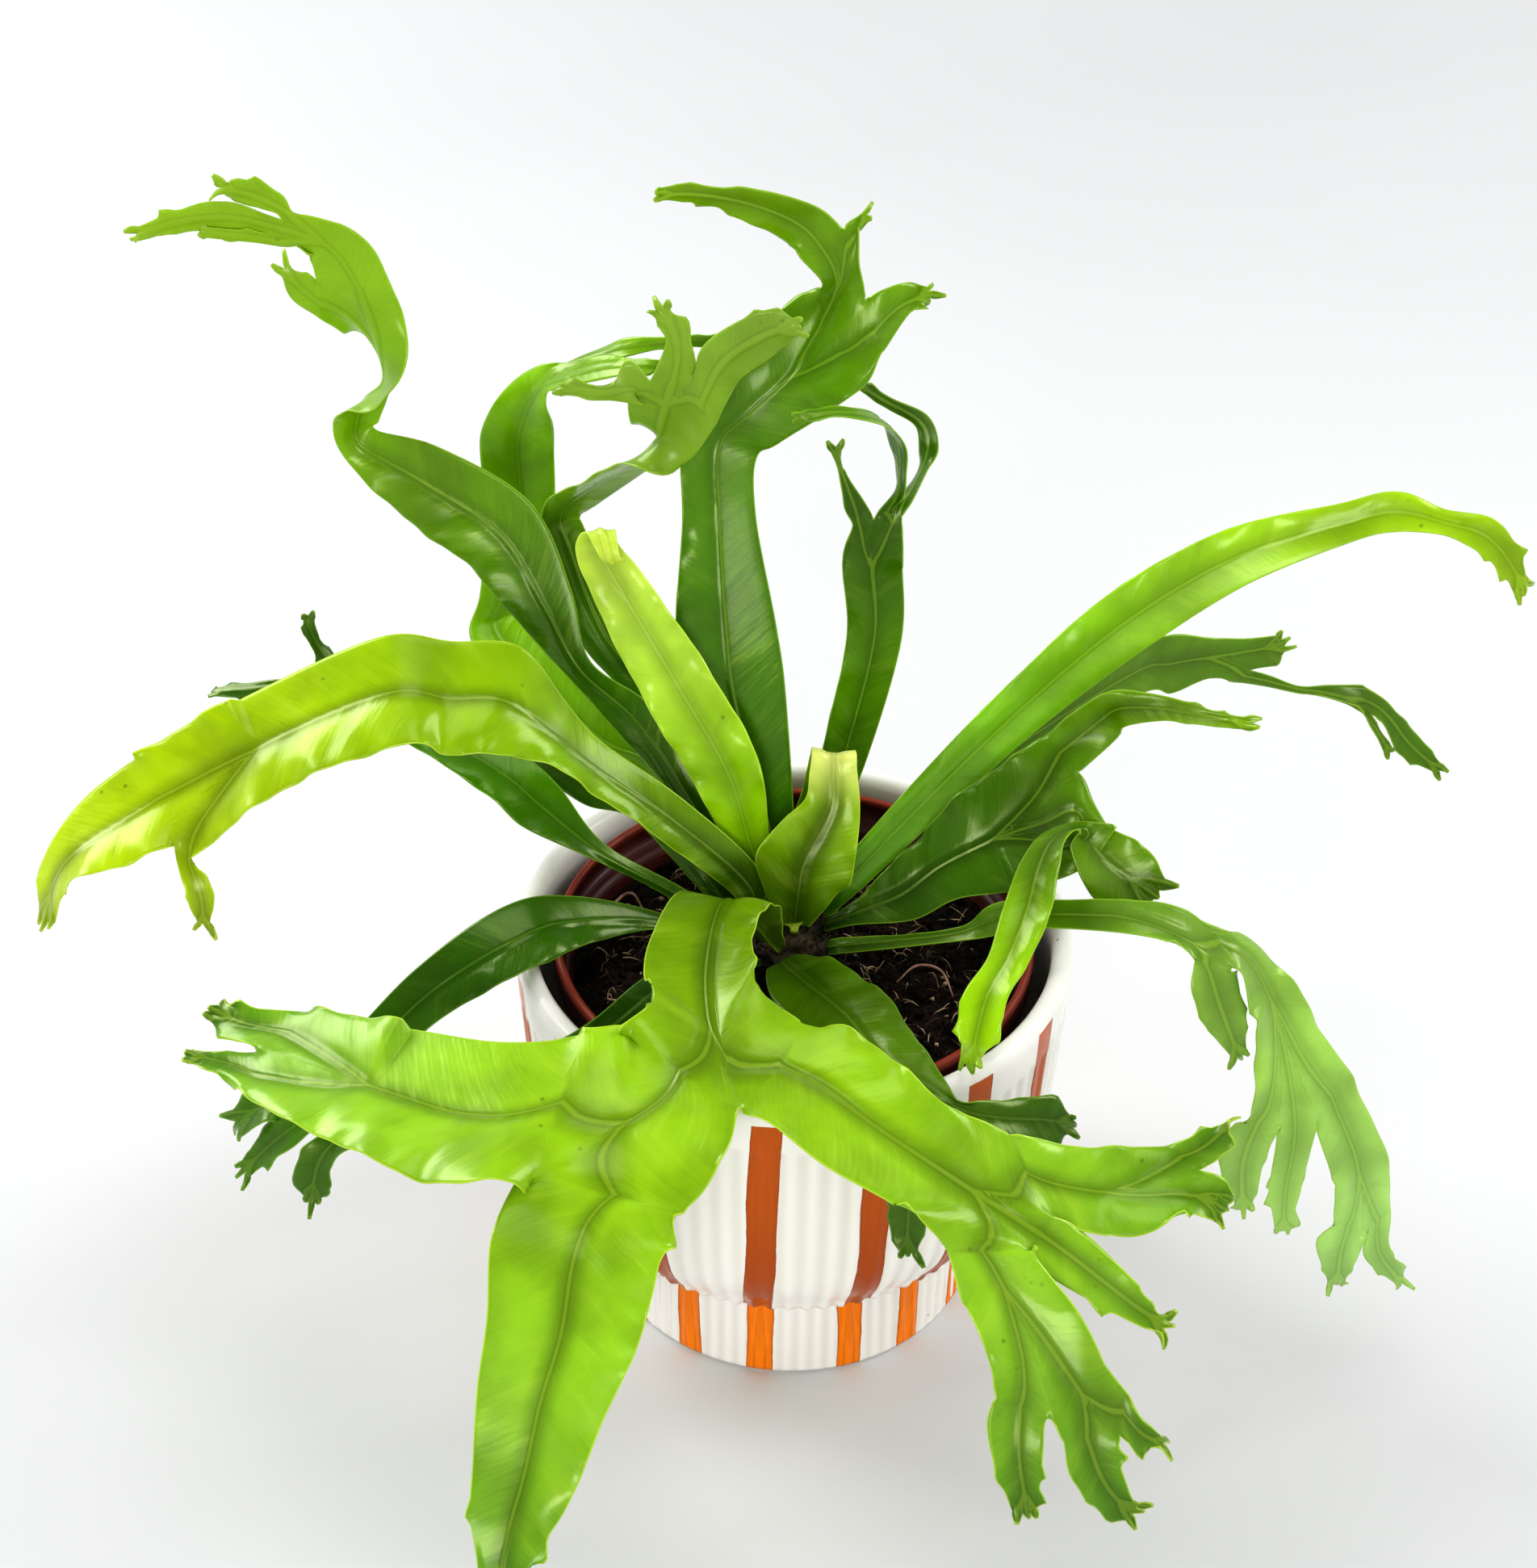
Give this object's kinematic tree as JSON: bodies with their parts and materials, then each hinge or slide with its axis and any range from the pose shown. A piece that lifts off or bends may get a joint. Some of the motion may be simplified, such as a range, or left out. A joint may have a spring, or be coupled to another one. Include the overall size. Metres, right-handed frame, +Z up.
{
  "type": "potted crested bird's-nest fern",
  "caption": "Crested bird's-nest fern in a terracotta-coloured nursery pot, inside a white fluted ceramic planter with hand-painted orange stripes.",
  "frame": {"origin": "the middle of the planter's flat underside, on the planter's axis", "axes": "+Z up along the planter's axis, -Y towards the front of the plant, +X to its right as seen from the front"},
  "size_m": [0.3663, 0.2635, 0.283],
  "materials": {
    "glazed_ceramic": "gloss",
    "nursery_plastic": "satin",
    "potting_mix": "matte",
    "crown": "matte",
    "leaf_lime": "satin",
    "leaf_mid": "satin",
    "leaf_dark": "satin"
  },
  "bodies": {
    "root": {"planter": "glazed_ceramic", "nursery_pot": "nursery_plastic", "potting_mix": "potting_mix", "crown": "crown", "frond_spiral": "leaf_mid", "frond_back_left": "leaf_mid", "frond_far_left": "leaf_dark", "frond_tall": "leaf_mid", "frond_young_lime": "leaf_lime", "frond_right_upright": "leaf_mid", "frond_long_right": "leaf_mid", "frond_behind_right": "leaf_mid", "frond_broad_right": "leaf_mid", "frond_low_right": "leaf_mid", "frond_front": "leaf_lime", "frond_young_centre": "leaf_lime", "frond_broad_left": "leaf_lime", "frond_under_left": "leaf_dark", "frond_dark_left": "leaf_dark", "frond_low_left": "leaf_dark", "frond_front_left": "leaf_dark", "frond_front_right": "leaf_dark"}
  },
  "joints": []
}
